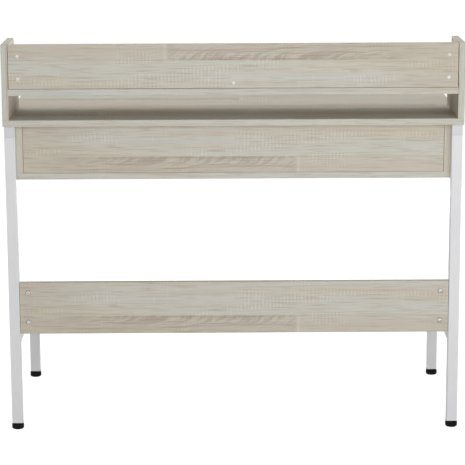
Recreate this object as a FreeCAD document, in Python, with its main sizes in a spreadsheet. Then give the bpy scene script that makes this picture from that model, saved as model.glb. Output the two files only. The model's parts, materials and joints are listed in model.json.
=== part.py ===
import FreeCAD, Part
import os

import Sketcher

# Student desk with a low hutch: oak-look boards on two white steel side frames.
# The user sits on the -Y side, so left is -X and right is +X. The floor is z = 0.

# Driving sizes in millimetres
SIZES = {
    # Boards and the overall size
    "desk_width": 1075,
    "desk_depth": 500,
    "desk_height": 750,
    "board": 15,
    "edge_overhang": 3,
    # Side frames of square steel tube
    "tube": 25,
    "tube_wall": 1.5,
    "tube_corner": 2.5,
    "frame_depth": 480,
    "side_rail_rise": 212,
    "cap_flange": 2,
    "cap_plug": 12,
    # Levelling feet and the threaded inserts that carry them
    "foot_height": 16,
    "foot_radius": 14.5,
    "foot_sole_radius": 12.5,
    "foot_edge_rise": 2,
    "foot_shoulder": 1.5,
    "stud_radius": 4,
    "stud_length": 20,
    "insert_flange": 3,
    "insert_plug": 24,
    # Hutch on the desktop
    "hutch_depth": 232,
    "hutch_top_depth": 152,
    "shelf_gap": 58,
    "shelf_setback": 5,
    "back_height": 103.5,
    "back_end_gap": 1.5,
    # Drawer box under the desktop
    "box_height": 129,
    "box_depth": 450,
    "box_rear_inset": 22,
    "box_back_recess": 3,
    # Lower panel between the rear legs
    "panel_rise": 236,
    "panel_height": 125,
    "panel_inset": 5,
    "panel_end_gap": 0.5,
    "panel_bolt_edge": 25,
    "panel_bolt_rise": 28.5,
    "panel_bolt_end": 20,
    "tab_width": 36,
    "tab_margin": 12,
    "tab_thickness": 3,
    # Bolts, nuts and inserts of the steel frame
    "bolt_radius": 3,
    "bolt_head_radius": 6,
    "bolt_head_height": 3.5,
    "bolt_head_round": 2.8,
    "bolt_socket_radius": 2.3,
    "bolt_socket_depth": 2,
    "bolt_tip": 1.5,
    "nut_radius": 5.8,
    "nut_height": 5,
    "rail_bolt_inset": 70,
    "rail_bolt_reach": 9,
    "sleeve_radius": 4.5,
    "sleeve_length": 11,
    # Angle brackets and screws that hold the hutch back
    "bracket_long_leg": 34,
    "bracket_short_leg": 24,
    "bracket_width": 18,
    "bracket_steel": 2,
    "back_screw_end": 23,
    "back_screw_edge": 27,
    "back_screw_foot": 24,
    "back_screw_rise": 13,
    "back_screw_radius": 2,
    "back_screw_head_radius": 4.25,
    "back_screw_head_height": 2.6,
    "back_screw_head_round": 2,
    "back_screw_tip": 3,
    "bracket_screw_setback": 15,
    "bracket_screw_length": 12,
    "bracket_screw_radius": 1.75,
    "bracket_screw_head_radius": 3.5,
    "bracket_screw_head_height": 2,
    "bracket_screw_head_round": 1.75,
    # Cross recesses in the screw heads
    "recess_width": 0.9,
    "recess_depth": 1.1,
    # Cam locks, cam bolts and dowels that join board to board
    "cam_radius": 7.5,
    "cam_depth": 12,
    "cam_setback": 34,
    "cam_bore_radius": 3.6,
    "cam_recess_length": 9,
    "cam_recess_width": 1.6,
    "cam_recess_depth": 2,
    "cam_bolt_thread_radius": 3,
    "cam_bolt_thread": 10,
    "cam_bolt_shank_radius": 2.4,
    "cam_bolt_head_radius": 3.2,
    "cam_bolt_head": 5,
    "hutch_cam_inset": 48,
    "box_cam_inset": 70,
    "dowel_radius": 4,
    "dowel_length": 30,
    "dowel_shallow": 10,
    "back_dowel_edge": 28,
    # Long screws that hold the box bottom and the hutch sides
    "joint_screw_radius": 2.5,
    "joint_screw_head_radius": 5,
    "joint_screw_head": 4,
    "joint_screw_length": 50,
    "joint_screw_inset": 45,
    # Drawers
    "drawer_front_gap": 2,
    "drawer_side_gap": 4,
    "drawer_wall": 12,
    "drawer_height": 86,
    "drawer_lift": 8,
    "drawer_rear_gap": 17,
    "floor_thickness": 3,
    "floor_rise": 10,
    "floor_groove": 6,
    "drawer_screw_length": 35,
    "drawer_screw_edge": 18,
    "peg_radius": 3,
    "peg_length": 24,
    "peg_shallow": 10,
    # Runner strips that the drawers hang on
    "runner_rise": 51,
    "runner_height": 16,
    "runner_bite": 7,
    "runner_front_gap": 10,
    "runner_rear_gap": 27,
    "runner_slack": 0.4,
    "runner_screw_bite": 6,
    "runner_screw_inset": 30,
    "wood_screw_radius": 1.75,
    "wood_screw_head_radius": 3.5,
    "wood_screw_head": 2.2,
    # Drawer handles
    "handle_length": 140,
    "handle_reach": 22,
    "handle_bar": 8,
    "handle_post": 12,
    "handle_height": 10,
    "handle_round": 6,
    "handle_screw_bite": 8,
    # Fits shared by all pieces
    "hole_gap": 0.2,
    "thread_gap": 0.1,
    "hole_end_gap": 0.5,
    "overrun": 2,
}

doc = FreeCAD.newDocument("StudentDesk")
sheet = doc.addObject("Spreadsheet::Sheet", "Sizes")
for row, (alias, number) in enumerate(SIZES.items(), start=1):
    sheet.set(f"A{row}", alias)
    sheet.set(f"B{row}", str(number))
    sheet.setAlias(f"B{row}", alias)
doc.recompute()


class Length:
    """A length worked out from the sheet: the formula to bind, and its value now."""

    def __init__(self, formula, value):
        self.formula = formula
        self.value = value

    def joined(self, sign, other, value):
        return Length(f"({self.formula} {sign} {other.formula})", value)

    def __add__(self, other):
        other = as_length(other)
        return self.joined("+", other, self.value + other.value)

    def __sub__(self, other):
        other = as_length(other)
        return self.joined("-", other, self.value - other.value)

    def __mul__(self, count):
        return self.joined("*", as_length(count), self.value * count)

    def __truediv__(self, count):
        return self.joined("/", as_length(count), self.value / count)

    def __neg__(self):
        return Length(f"(-{self.formula})", -self.value)

    __rmul__ = __mul__


def as_length(number):
    if isinstance(number, Length):
        return number
    return Length(f"{number}", number)


class SheetSizes:
    """Gives each driving size by its name in the sheet."""

    def __getattr__(self, alias):
        return Length(f"Sizes.{alias}", float(sheet.get(alias)))


s = SheetSizes()
ZERO = as_length(0)

# Turn that takes a piece's own +Z to each direction of the desk
X_AXIS = FreeCAD.Vector(1, 0, 0)
Y_AXIS = FreeCAD.Vector(0, 1, 0)
TURNS = {
    "+x": FreeCAD.Rotation(Y_AXIS, 90),
    "-x": FreeCAD.Rotation(Y_AXIS, -90),
    "+y": FreeCAD.Rotation(X_AXIS, -90),
    "-y": FreeCAD.Rotation(X_AXIS, 90),
    "+z": FreeCAD.Rotation(),
    "-z": FreeCAD.Rotation(X_AXIS, 180),
}

# How near two points count as one, how straight an edge runs, the length of a cross recess
# against its screw head's radius, and the unit that volumes print in
SAME_POINT = 0.001
STRAIGHT_SHARE = 0.99
RECESS_LENGTH_SHARE = 1.1
CUBIC_CENTIMETRE = 1000

nodes = []


def node(thing, label):
    """Give a finished sub-part its own name and list it for writing."""
    thing.Label = label
    nodes.append(thing)
    return thing


def bind(thing, prop, length):
    thing.setExpression(prop, as_length(length).formula)


def place(thing, at, turn="+z"):
    thing.Placement = FreeCAD.Placement(FreeCAD.Vector(), TURNS[turn])
    for axis, length in zip("xyz", at):
        bind(thing, f"Placement.Base.{axis}", length)
    return thing


def block(name, x, y, z):
    """A plain board or bar, from a start and a length along each axis."""
    thing = doc.addObject("Part::Box", name)
    for prop, span in zip(("Length", "Width", "Height"), (x, y, z)):
        bind(thing, prop, span[1])
    return place(thing, (x[0], y[0], z[0]))


def bore(radius, depth, at, along):
    """A round cutter that enters at a point of a face and goes in along a direction."""
    cutter = doc.addObject("Part::Cylinder", "bore")
    bind(cutter, "Radius", radius)
    bind(cutter, "Height", depth + s.overrun)
    back = s.overrun if along[0] == "-" else -s.overrun
    start = [length + back if axis == along[1] else length for axis, length in zip("xyz", at)]
    return place(cutter, start, along)


def group(name, pieces):
    thing = doc.addObject("Part::Compound", name)
    thing.Links = pieces
    return thing


def fused(name, pieces):
    thing = doc.addObject("Part::MultiFuse", name)
    thing.Shapes = pieces
    return thing


def cut(name, blank, cutters):
    thing = doc.addObject("Part::Cut", name)
    thing.Base = blank
    thing.Tool = cutters[0] if len(cutters) == 1 else group(f"{name}_cutters", cutters)
    return thing


def other_side(name, source):
    """The same piece on the other side of the desk's middle plane."""
    thing = doc.addObject("Part::Mirroring", name)
    thing.Source = source
    thing.Normal = X_AXIS
    return thing


def copy_of(source, at, turn="+z"):
    thing = doc.addObject("App::Link", f"{source.Name}_copy")
    thing.LinkedObject = source
    return place(thing, at, turn)


def both_sides(name, pieces):
    """A group of loose pieces on the right side together with their mirror images."""
    right = group(f"{name}_right", pieces)
    return [right, other_side(f"{name}_left", right)]


def plane_of(body, role):
    return next(feature for feature in body.Origin.OriginFeatures if feature.Role == role)


def outline(body, plane, corners):
    """A closed sketch whose corners are each held at a distance from the origin."""
    sketch = body.newObject("Sketcher::SketchObject", f"{body.Name}_outline")
    sketch.AttachmentSupport = (plane_of(body, plane), [""])
    sketch.MapMode = "FlatFace"
    points = [FreeCAD.Vector(x.value, y.value, 0) for x, y in corners]
    for start, end in zip(points, points[1:] + points[:1]):
        sketch.addGeometry(Part.LineSegment(start, end))
    for line in range(len(points)):
        following = (line + 1) % len(points)
        sketch.addConstraint(Sketcher.Constraint("Coincident", line, 2, following, 1))
    for line, corner in enumerate(corners):
        hold_corner(sketch, line, "DistanceX", -2, corner[0])
        hold_corner(sketch, line, "DistanceY", -1, corner[1])
    return sketch


def hold_corner(sketch, line, kind, zero_axis, length):
    """Hold a line's first point on an axis, or at a bound distance on either side of it."""
    if length.value == 0:
        sketch.addConstraint(Sketcher.Constraint("PointOnObject", line, 1, zero_axis))
    elif length.value > 0:
        held = sketch.addConstraint(Sketcher.Constraint(kind, -1, 1, line, 1, length.value))
        bind(sketch, f"Constraints[{held}]", length)
    else:
        held = sketch.addConstraint(Sketcher.Constraint(kind, line, 1, -1, 1, -length.value))
        bind(sketch, f"Constraints[{held}]", -length)


def padded(name, plane, corners, thickness):
    """A body padded from one outline."""
    body = doc.addObject("PartDesign::Body", name)
    add_pad(body, plane, corners, thickness)
    return body


def add_pad(body, plane, corners, thickness):
    pad = body.newObject("PartDesign::Pad", f"{body.Name}_pad")
    pad.Profile = outline(body, plane, corners)
    bind(pad, "Length", thickness)
    doc.recompute()
    return pad


def hollow_out(body, plane, corners):
    """Cut an outline right through the body, on the side where its solid is."""
    whole = body.Shape.Volume
    pocket = body.newObject("PartDesign::Pocket", f"{body.Name}_hollow")
    pocket.Profile = outline(body, plane, corners)
    pocket.Type = "ThroughAll"
    pocket.Reversed = True
    doc.recompute()
    if not pocket.Shape.Volume < whole:
        raise RuntimeError(f"{body.Name} was not hollowed")


def round_edges(body, radius, wanted):
    """Round the body's edges that the given test picks."""
    tip = body.Tip
    names = [f"Edge{place}" for place, edge in enumerate(tip.Shape.Edges, start=1) if wanted(edge)]
    fillet = body.newObject("PartDesign::Fillet", f"{body.Name}_rounding")
    fillet.Base = (tip, names)
    bind(fillet, "Radius", radius)
    doc.recompute()


def turned(name, corners):
    """A body turned about its own Z axis from corners given as radius and height."""
    body = doc.addObject("PartDesign::Body", name)
    profile = outline(body, "XZ_Plane", corners)
    turning = body.newObject("PartDesign::Revolution", f"{name}_turning")
    turning.Profile = profile
    turning.ReferenceAxis = (profile, ["V_Axis"])
    turning.Angle = 360
    doc.recompute()
    return body


def square(side):
    half = side / 2
    return [(-half, -half), (half, -half), (half, half), (-half, half)]


def runs_along_z(edge):
    start, end = edge.Vertexes[0].Point, edge.Vertexes[-1].Point
    return len(edge.Vertexes) == 2 and abs(start.z - end.z) > STRAIGHT_SHARE * edge.Length


def rim_at(height):
    """A test for the round edges that lie at one height of a turned piece."""
    return lambda edge: len(edge.Vertexes) == 1 and abs(edge.Vertexes[0].Point.z - height.value) < SAME_POINT


# Planes of the desk that several pieces share
half_width = s.desk_width / 2
# The screw heads stand proud of the rear edge, so the boards lie forward by half of that
rear = s.desk_depth / 2 - s.back_screw_head_height / 2
top_under = s.desk_height - s.board
frame_outer = half_width - s.edge_overhang
frame_inner = frame_outer - s.tube
frame_middle = frame_outer - s.tube / 2
frame_rear = rear - s.edge_overhang
frame_front = frame_rear - s.frame_depth
rail_under = top_under - s.tube
hutch_inner = half_width - s.board
hutch_front = rear - s.hutch_depth
shelf_under = s.desk_height + s.shelf_gap
shelf_top = shelf_under + s.board
hutch_top = shelf_top + s.back_height
box_rear = frame_rear - s.box_rear_inset
box_front = box_rear - s.box_depth
box_under = top_under - s.box_height
box_floor = box_under + s.board
box_inner = frame_inner - s.board
panel_rear = frame_rear - s.panel_inset
panel_front = panel_rear - s.board
panel_end = frame_inner - s.panel_end_gap
rail_bolt_places = [frame_front + s.rail_bolt_inset, frame_rear - s.rail_bolt_inset]


# Shared fasteners, each with its head's seat at z = 0 and its shank below

def crossed_bars(name, length, width, z):
    """A cutter of two crossed bars about a piece's own Z axis."""
    spans = [(length, width), (width, length)]
    return fused(name, [block(f"{name}_bar", (-x / 2, x), (-y / 2, y), z) for x, y in spans])


def cross_driven(name, screw, head_radius, head_top):
    """Cut a driver's cross recess into a screw's head."""
    z = (head_top - s.recess_depth, s.recess_depth + s.overrun)
    recess = crossed_bars(f"{name}_recess", head_radius * RECESS_LENGTH_SHARE, s.recess_width, z)
    return cut(name, screw, [recess])


def domed_screw(name, radius, length, head_radius, head_height, head_round):
    blank = domed_bolt(f"{name}_blank", radius, length, head_radius, head_height, head_round)
    return cross_driven(name, blank, head_radius, head_height)


def domed_bolt(name, radius, length, head_radius, head_height, head_round):
    body = turned(name, [
        (ZERO, -length),
        (radius, -length),
        (radius, ZERO),
        (head_radius, ZERO),
        (head_radius, head_height),
        (ZERO, head_height),
    ])
    round_edges(body, head_round, rim_at(head_height))
    return body


def sunk_screw(name, radius, length, head_radius, head):
    blank = turned(f"{name}_blank", [
        (ZERO, -length),
        (radius, -length),
        (radius, -head),
        (head_radius, ZERO),
        (ZERO, ZERO),
    ])
    return cross_driven(name, blank, head_radius, ZERO)


def sunk_hole(radius, length, head_radius, head, at, along):
    """Cutters for a flush screw: its shank hole and the cone that takes its head."""
    cone = doc.addObject("Part::Cone", "countersink")
    bind(cone, "Radius1", head_radius + s.hole_gap)
    bind(cone, "Radius2", radius + s.hole_gap)
    bind(cone, "Height", head)
    place(cone, at, along)
    return [cone, bore(radius + s.hole_gap, length + s.hole_end_gap, at, along)]


def joint_screw_seat(x, y, under):
    """Cutter in the board that a long screw passes up through, from its underside."""
    holes = sunk_hole(s.joint_screw_radius, s.board + s.overrun, s.joint_screw_head_radius,
                      s.joint_screw_head, (x, y, under), "+z")
    return fused("joint_screw_seat", holes)


def joint_screw_pilot(x, y, edge):
    """Hole for a long screw, up into the lower edge of a standing board."""
    depth = s.joint_screw_length - s.board + s.hole_end_gap
    return bore(s.joint_screw_radius + s.hole_gap, depth, (x, y, edge), "+z")


def socket_bolt(name, length):
    """A frame bolt: domed head with a hexagon socket."""
    bolt = domed_bolt(f"{name}_blank", s.bolt_radius, length, s.bolt_head_radius,
                      s.bolt_head_height, s.bolt_head_round)
    socket = doc.addObject("Part::Prism", f"{name}_socket")
    socket.Polygon = 6
    bind(socket, "Circumradius", s.bolt_socket_radius)
    bind(socket, "Height", s.bolt_socket_depth + s.overrun)
    place(socket, (ZERO, ZERO, s.bolt_head_height - s.bolt_socket_depth))
    return cut(name, bolt, [socket])


# Board joints: a cam in one board pulls on a bolt that is screwed into the other

def make_cam():
    blank = turned("cam_blank", [
        (ZERO, -s.cam_depth),
        (s.cam_radius, -s.cam_depth),
        (s.cam_radius, ZERO),
        (ZERO, ZERO),
    ])
    across = 2 * s.cam_radius
    hole = bore(s.cam_bore_radius, across + s.overrun, (-s.cam_radius, ZERO, -s.board / 2), "+x")
    recess = crossed_bars("cam_recess", s.cam_recess_length, s.cam_recess_width,
                          (-s.cam_recess_depth, s.cam_recess_depth + s.overrun))
    return cut("cam", blank, [hole, recess])


def make_cam_bolt():
    """Screwed into one board below z = 0; its head reaches the cam in the other board."""
    head_start = s.cam_setback - s.cam_bolt_head / 2
    head_end = s.cam_setback + s.cam_bolt_head / 2
    return turned("cam_bolt", [
        (ZERO, -s.cam_bolt_thread),
        (s.cam_bolt_thread_radius, -s.cam_bolt_thread),
        (s.cam_bolt_thread_radius, ZERO),
        (s.cam_bolt_shank_radius, ZERO),
        (s.cam_bolt_shank_radius, head_start),
        (s.cam_bolt_head_radius, head_start),
        (s.cam_bolt_head_radius, head_end),
        (ZERO, head_end),
    ])


def cam_seat(face_at, into_face, edge_at, into_edge):
    """Cutters in the board that holds the cam: the cam's hole and the bolt's hole from the edge."""
    return [
        bore(s.cam_radius + s.hole_gap, s.cam_depth + s.hole_end_gap, face_at, into_face),
        bore(s.cam_bore_radius, s.cam_setback + s.cam_bolt_head, edge_at, into_edge),
    ]


def cam_bolt_hole(at, along):
    return bore(s.cam_bolt_thread_radius + s.hole_gap, s.cam_bolt_thread + s.hole_end_gap, at, along)


def make_dowel(name, radius, length):
    """A wooden pin whose shallow end is at z = 0."""
    return turned(name, [(ZERO, ZERO), (radius, ZERO), (radius, length), (ZERO, length)])


def dowel_hole(depth, at, along):
    return bore(s.dowel_radius + s.hole_gap, depth + s.hole_end_gap, at, along)


cam = make_cam()
cam_bolt = make_cam_bolt()
dowel = make_dowel("dowel", s.dowel_radius, s.dowel_length)
dowel_deep = s.dowel_length - s.dowel_shallow
wood_screw_hole_radius = s.wood_screw_radius + s.hole_gap

hutch_side_middle = half_width - s.board / 2
hutch_cam_places = [rear - s.hutch_cam_inset, hutch_front + s.hutch_cam_inset]
hutch_dowel_place = rear - s.hutch_depth / 2
shelf_middle = shelf_under + s.board / 2
shelf_cam_x = hutch_inner - s.cam_setback
box_side_middle = box_inner + s.board / 2
box_cam_height = top_under - s.cam_setback
box_cam_places = [box_front + s.box_cam_inset, box_rear - s.box_cam_inset]
joint_screw_places = [box_front + s.joint_screw_inset, box_rear - s.joint_screw_inset]
box_back_rear = box_rear - s.box_back_recess
box_back_front = box_back_rear - s.board
box_back_middle = box_back_rear - s.board / 2
back_dowel_heights = [box_floor + s.back_dowel_edge, top_under - s.back_dowel_edge]
back_front = rear - s.board
bracket_heights = [shelf_top + s.back_screw_foot, hutch_top - s.back_screw_edge]
bracket_screw_place = back_front - s.bracket_screw_setback
back_screw_x = hutch_inner - s.back_screw_end
centre_screw_height = shelf_top + s.back_screw_rise
panel_bolt_heights = [
    s.panel_rise + s.panel_bolt_rise,
    s.panel_rise + s.panel_height - s.panel_bolt_edge,
]
panel_bolt_x = panel_end - s.panel_bolt_end
runner_front = box_front + s.board + s.runner_front_gap
runner_length = box_back_front - s.runner_rear_gap - runner_front
runner_middle = box_floor + s.runner_rise
runner_depth = s.drawer_side_gap + s.runner_bite
runner_screw_places = [
    runner_front + s.runner_screw_inset,
    runner_front + runner_length / 2,
    runner_front + runner_length - s.runner_screw_inset,
]


# Desktop

def make_desktop():
    blank = block("desktop_blank", (-half_width, s.desk_width), (rear - s.desk_depth, s.desk_depth),
                  (top_under, s.board))
    one_side = [joint_screw_seat(hutch_side_middle, y, top_under) for y in hutch_cam_places]
    one_side.append(dowel_hole(s.dowel_shallow, (hutch_side_middle, hutch_dowel_place, s.desk_height), "-z"))
    one_side += [cam_bolt_hole((box_side_middle, y, top_under), "+z") for y in box_cam_places]
    one_side += [
        bore(s.sleeve_radius + s.hole_gap, s.sleeve_length + s.hole_end_gap,
             (frame_middle, y, top_under), "+z")
        for y in rail_bolt_places
    ]
    centre = [cam_bolt_hole((ZERO, y, top_under), "+z") for y in box_cam_places]
    node(cut("desktop", blank, both_sides("desktop_bores", one_side) + centre), "desktop")


# Hutch

def make_hutch_sides():
    blank = padded("hutch_side_blank", "YZ_Plane", [
        (hutch_front, s.desk_height),
        (rear, s.desk_height),
        (rear, hutch_top),
        (rear - s.hutch_top_depth, hutch_top),
        (hutch_front, shelf_top),
    ], s.board)
    place(blank, (hutch_inner, ZERO, ZERO))
    cutters = []
    for y in hutch_cam_places:
        cutters.append(joint_screw_pilot(hutch_side_middle, y, s.desk_height))
        cutters.append(cam_bolt_hole((hutch_inner, y, shelf_middle), "+x"))
    cutters.append(dowel_hole(dowel_deep, (hutch_side_middle, hutch_dowel_place, s.desk_height), "+z"))
    cutters.append(dowel_hole(s.dowel_shallow, (hutch_inner, hutch_dowel_place, shelf_middle), "+x"))
    for z in bracket_heights:
        cutters.append(bore(s.bracket_screw_radius + s.hole_gap, s.bracket_screw_length,
                            (hutch_inner, bracket_screw_place, z), "+x"))
    right = node(cut("hutch_side_right", blank, cutters), "hutch_side_right")
    node(other_side("hutch_side_left", right), "hutch_side_left")


def make_hutch_shelf():
    depth = s.hutch_depth - s.shelf_setback
    blank = block("hutch_shelf_blank", (-hutch_inner, 2 * hutch_inner), (rear - depth, depth),
                  (shelf_under, s.board))
    one_end = []
    for y in hutch_cam_places:
        one_end += cam_seat((shelf_cam_x, y, shelf_under), "+z", (hutch_inner, y, shelf_middle), "-x")
    one_end.append(dowel_hole(dowel_deep, (hutch_inner, hutch_dowel_place, shelf_middle), "-x"))
    centre = bore(s.bracket_screw_radius + s.hole_gap, s.bracket_screw_length,
                  (ZERO, bracket_screw_place, shelf_top), "-z")
    node(cut("hutch_shelf", blank, both_sides("hutch_shelf_bores", one_end) + [centre]), "hutch_shelf")


def make_hutch_back():
    half_length = hutch_inner - s.back_end_gap
    blank = block("hutch_back_blank", (-half_length, 2 * half_length), (back_front, s.board),
                  (shelf_top, s.back_height))
    through = s.board + s.overrun
    radius = s.back_screw_radius + s.hole_gap
    one_end = [bore(radius, through, (back_screw_x, back_front, z), "+y") for z in bracket_heights]
    centre = bore(radius, through, (ZERO, back_front, centre_screw_height), "+y")
    node(cut("hutch_back", blank, both_sides("hutch_back_bores", one_end) + [centre]), "hutch_back")


def angle_bracket(name, bolt_setback):
    """Two steel legs from a corner at the origin: one along -X for the bolt, one along -Y."""
    blank = padded(f"{name}_blank", "XY_Plane", [
        (ZERO, ZERO),
        (-s.bracket_long_leg, ZERO),
        (-s.bracket_long_leg, -s.bracket_steel),
        (-s.bracket_steel, -s.bracket_steel),
        (-s.bracket_steel, -s.bracket_short_leg),
        (ZERO, -s.bracket_short_leg),
    ], s.bracket_width)
    through = s.bracket_steel + s.overrun
    half = s.bracket_width / 2
    bolt = bore(s.back_screw_radius + s.thread_gap, through, (-bolt_setback, ZERO, half), "-y")
    screw = bore(s.bracket_screw_radius + s.hole_gap, through, (ZERO, -s.bracket_screw_setback, half), "-x")
    return cut(name, blank, [bolt, screw])


def make_hutch_brackets():
    end_bracket = angle_bracket("end_bracket", s.back_screw_end)
    half = s.bracket_width / 2
    one_end = [copy_of(end_bracket, (hutch_inner, back_front, z - half)) for z in bracket_heights]
    node(group("hutch_end_brackets", both_sides("hutch_end_bracket", one_end)), "hutch_end_brackets")
    centre = angle_bracket("shelf_bracket", s.back_screw_rise)
    place(centre, (-half, back_front, shelf_top), "+x")
    node(centre, "hutch_shelf_bracket")


def make_hutch_screws():
    screw = domed_screw("back_screw", s.back_screw_radius, s.board + s.bracket_steel + s.back_screw_tip,
                        s.back_screw_head_radius, s.back_screw_head_height, s.back_screw_head_round)
    one_end = [copy_of(screw, (back_screw_x, rear, z), "+y") for z in bracket_heights]
    centre = copy_of(screw, (ZERO, rear, centre_screw_height), "+y")
    node(group("hutch_back_screws", both_sides("hutch_back_screw", one_end) + [centre]), "hutch_back_screws")
    small = domed_screw("bracket_screw", s.bracket_screw_radius, s.bracket_screw_length,
                        s.bracket_screw_head_radius, s.bracket_screw_head_height, s.bracket_screw_head_round)
    head_x = hutch_inner - s.bracket_steel
    one_end = [copy_of(small, (head_x, bracket_screw_place, z), "-x") for z in bracket_heights]
    centre = copy_of(small, (ZERO, bracket_screw_place, shelf_top + s.bracket_steel))
    node(group("hutch_bracket_screws", both_sides("hutch_bracket_screw", one_end) + [centre]),
         "hutch_bracket_screws")


# Drawer box

def make_box_sides():
    height = top_under - box_floor
    blank = block("box_side_blank", (box_inner, s.board), (box_front, s.box_depth), (box_floor, height))
    cutters = []
    for y in box_cam_places:
        cutters += cam_seat((box_inner, y, box_cam_height), "+x", (box_side_middle, y, top_under), "-z")
    cutters += [joint_screw_pilot(box_side_middle, y, box_floor) for y in joint_screw_places]
    cutters += [dowel_hole(s.dowel_shallow, (box_inner, box_back_middle, z), "+x")
                for z in back_dowel_heights]
    cutters += runner_screw_holes(box_inner, "+x")
    right = node(cut("box_side_right", blank, cutters), "box_side_right")
    node(other_side("box_side_left", right), "box_side_left")


def runner_screw_holes(x, along):
    depth = s.runner_screw_bite + s.hole_end_gap
    return [bore(wood_screw_hole_radius, depth, (x, y, runner_middle), along) for y in runner_screw_places]


def make_box_divider():
    half = s.board / 2
    depth = box_back_front - box_front
    blank = block("box_divider_blank", (-half, s.board), (box_front, depth),
                  (box_floor, top_under - box_floor))
    cutters = []
    for y in box_cam_places:
        cutters += cam_seat((-half, y, box_cam_height), "+x", (ZERO, y, top_under), "-z")
    cutters += [joint_screw_pilot(ZERO, y, box_floor) for y in joint_screw_places]
    cutters += [dowel_hole(dowel_deep, (ZERO, box_back_front, z), "-y") for z in back_dowel_heights]
    cutters += runner_screw_holes(half, "-x") + runner_screw_holes(-half, "+x")
    node(cut("box_divider", blank, cutters), "box_divider")


def make_box_bottom():
    blank = block("box_bottom_blank", (-frame_inner, 2 * frame_inner), (box_front, s.box_depth),
                  (box_under, s.board))
    cutters = []
    for x in (-box_side_middle, ZERO, box_side_middle):
        cutters += [joint_screw_seat(x, y, box_under) for y in joint_screw_places]
    node(cut("box_bottom", blank, cutters), "box_bottom")


def make_box_back():
    blank = block("box_back_blank", (-box_inner, 2 * box_inner), (box_back_front, s.board),
                  (box_floor, top_under - box_floor))
    one_end = [dowel_hole(dowel_deep, (box_inner, box_back_middle, z), "-x") for z in back_dowel_heights]
    centre = [dowel_hole(s.dowel_shallow, (ZERO, box_back_front, z), "+y") for z in back_dowel_heights]
    node(cut("box_back", blank, both_sides("box_back_bores", one_end) + centre), "box_back")


def make_joint_screws():
    """Long screws that come up through a board: into the hutch sides and into the box walls."""
    screw = sunk_screw("joint_screw", s.joint_screw_radius, s.joint_screw_length,
                       s.joint_screw_head_radius, s.joint_screw_head)
    one_side = [copy_of(screw, (hutch_side_middle, y, top_under), "-z") for y in hutch_cam_places]
    node(group("hutch_side_screws", both_sides("hutch_side_screw", one_side)), "hutch_side_screws")
    places = [(x, y) for x in (-box_side_middle, ZERO, box_side_middle) for y in joint_screw_places]
    node(group("box_bottom_screws", [copy_of(screw, (x, y, box_under), "-z") for x, y in places]),
         "box_bottom_screws")


# Cams, cam bolts and dowels of the whole desk, one group each

def make_board_joints():
    side_cams = [copy_of(cam, (shelf_cam_x, y, shelf_under), "-z") for y in hutch_cam_places]
    side_cams += [copy_of(cam, (box_inner, y, box_cam_height), "-x") for y in box_cam_places]
    centre_cams = [copy_of(cam, (-s.board / 2, y, box_cam_height), "-x") for y in box_cam_places]
    node(group("cam_locks", both_sides("side_cams", side_cams) + centre_cams), "cam_locks")

    side_bolts = [copy_of(cam_bolt, (hutch_inner, y, shelf_middle), "-x") for y in hutch_cam_places]
    side_bolts += [copy_of(cam_bolt, (box_side_middle, y, top_under), "-z") for y in box_cam_places]
    centre_bolts = [copy_of(cam_bolt, (ZERO, y, top_under), "-z") for y in box_cam_places]
    node(group("cam_bolts", both_sides("side_bolts", side_bolts) + centre_bolts), "cam_bolts")

    foot = s.dowel_shallow
    side_dowels = [
        copy_of(dowel, (hutch_side_middle, hutch_dowel_place, s.desk_height - foot)),
        copy_of(dowel, (hutch_inner + foot, hutch_dowel_place, shelf_middle), "-x"),
    ]
    side_dowels += [copy_of(dowel, (box_inner + foot, box_back_middle, z), "-x") for z in back_dowel_heights]
    centre_dowels = [copy_of(dowel, (ZERO, box_back_front + foot, z), "-y") for z in back_dowel_heights]
    node(group("wood_dowels", both_sides("side_dowels", side_dowels) + centre_dowels), "wood_dowels")


# Steel side frames

def tube(name, length):
    """A square tube with rounded corners that stands on its own origin."""
    body = padded(name, "XY_Plane", square(s.tube), length)
    round_edges(body, s.tube_corner, runs_along_z)
    hollow_out(body, "XY_Plane", square(s.tube - 2 * s.tube_wall))
    return body


def make_legs():
    rear_leg = tube("rear_leg_right", rail_under - s.foot_height)
    place(rear_leg, (frame_middle, frame_rear - s.tube / 2, s.foot_height))
    node(rear_leg, "rear_leg_right")
    node(other_side("rear_leg_left", rear_leg), "rear_leg_left")
    front_leg = tube("front_leg_right", s.side_rail_rise - s.foot_height)
    place(front_leg, (frame_middle, frame_front + s.tube / 2, s.foot_height))
    node(front_leg, "front_leg_right")
    node(other_side("front_leg_left", front_leg), "front_leg_left")


def make_rails():
    start = frame_front + s.cap_flange
    top_blank = tube("top_rail_blank", s.frame_depth - 2 * s.cap_flange)
    place(top_blank, (frame_middle, start, rail_under + s.tube / 2), "+y")
    through = s.tube + s.overrun
    bores = [bore(s.bolt_radius + s.hole_gap, through, (frame_middle, y, rail_under), "+z")
             for y in rail_bolt_places]
    top_rail = node(cut("top_rail_right", top_blank, bores), "top_rail_right")
    node(other_side("top_rail_left", top_rail), "top_rail_left")
    side_rail = tube("side_rail_right", s.frame_depth - s.tube - s.cap_flange)
    place(side_rail, (frame_middle, start, s.side_rail_rise + s.tube / 2), "+y")
    node(side_rail, "side_rail_right")
    node(other_side("side_rail_left", side_rail), "side_rail_left")


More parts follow.
